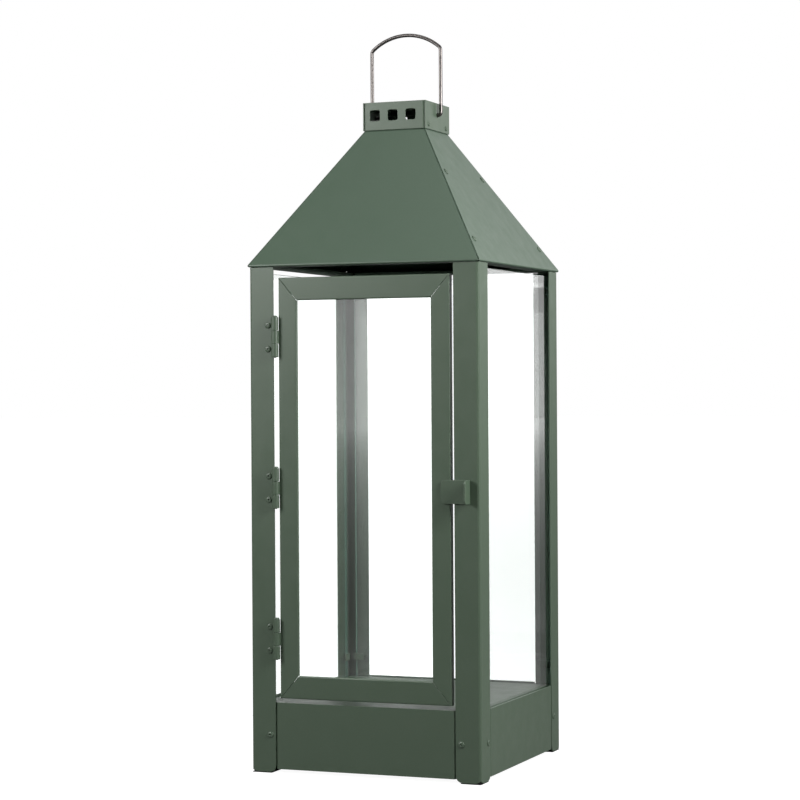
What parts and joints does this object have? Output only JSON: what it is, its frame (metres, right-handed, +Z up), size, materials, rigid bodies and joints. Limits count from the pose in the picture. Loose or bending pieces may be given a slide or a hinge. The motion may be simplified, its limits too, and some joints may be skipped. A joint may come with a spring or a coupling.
{
  "type": "candle lantern",
  "caption": "Tall square sheet-metal candle lantern with a glazed hinged door, fixed glass sides, a pyramid roof with a vented chimney and a swinging wire handle.",
  "frame": {"origin": "bottom centre of the whole, door pull included, on the standing surface; the body's own vertical axis stands 8 mm behind it", "axes": "+X to the right as seen from the door side, -Y out of the door side, +Z up"},
  "size_m": [0.243, 0.2588, 0.7364],
  "materials": {
    "moss_green_coat": "satin moss-green powder coat on folded sheet steel",
    "stainless_steel": "bright drawn stainless wire",
    "clear_glass": "clear flat glass with eased edges",
    "black_plastic": "black moulded glide",
    "magnet_ferrite": "dark sintered ferrite magnet"
  },
  "bodies": {
    "body": {"base_panel_back": "moss_green_coat", "base_panel_front": "moss_green_coat", "base_panel_left": "moss_green_coat", "base_panel_right": "moss_green_coat", "catch_bracket": "moss_green_coat", "catch_magnet": "magnet_ferrite", "chimney_back": "moss_green_coat", "chimney_cap": "moss_green_coat", "chimney_front": "moss_green_coat", "chimney_left": "moss_green_coat", "chimney_right": "moss_green_coat", "floor_tray": "moss_green_coat", "foot_back_left": "black_plastic", "foot_back_right": "black_plastic", "foot_front_left": "black_plastic", "foot_front_right": "black_plastic", "glass_back": "clear_glass", "glass_left": "clear_glass", "glass_right": "clear_glass", "hinge_bottom_pin": "stainless_steel", "hinge_bottom_post_leaf": "moss_green_coat", "hinge_middle_pin": "stainless_steel", "hinge_middle_post_leaf": "moss_green_coat", "hinge_top_pin": "stainless_steel", "hinge_top_post_leaf": "moss_green_coat", "post_back_left": "moss_green_coat", "post_back_right": "moss_green_coat", "post_front_left": "moss_green_coat", "post_front_right": "moss_green_coat", "rivet_back_left_back": "moss_green_coat", "rivet_back_left_left": "moss_green_coat", "rivet_back_right_back": "moss_green_coat", "rivet_back_right_right": "moss_green_coat", "rivet_front_left_front": "moss_green_coat", "rivet_front_left_left": "moss_green_coat", "rivet_front_right_front": "moss_green_coat", "rivet_front_right_right": "moss_green_coat", "rivet_hinge_bottom_a": "moss_green_coat", "rivet_hinge_bottom_b": "moss_green_coat", "rivet_hinge_middle_a": "moss_green_coat", "rivet_hinge_middle_b": "moss_green_coat", "rivet_hinge_top_a": "moss_green_coat", "rivet_hinge_top_b": "moss_green_coat", "roof_panel_back": "moss_green_coat", "roof_panel_front": "moss_green_coat", "roof_panel_left": "moss_green_coat", "roof_panel_right": "moss_green_coat"},
    "door": {"door_glass": "clear_glass", "door_pull": "moss_green_coat", "door_rail_bottom": "moss_green_coat", "door_rail_top": "moss_green_coat", "door_stile_hinge": "moss_green_coat", "door_stile_latch": "moss_green_coat", "hinge_bottom_door_leaf": "moss_green_coat", "hinge_middle_door_leaf": "moss_green_coat", "hinge_top_door_leaf": "moss_green_coat"},
    "handle": {"handle": "stainless_steel"}
  },
  "joints": [
    {"name": "door_hinge", "type": "hinge", "parent": "body", "child": "door", "pos_m": [-0.09155, -0.11455, 0.27995], "axis": [0, 0, -1], "range_deg": [0, 180]},
    {"name": "handle_pivot", "type": "hinge", "parent": "body", "child": "handle", "pos_m": [0, 0.008, 0.652], "axis": [1, 0, 0], "range_deg": [-112, 112]}
  ]
}
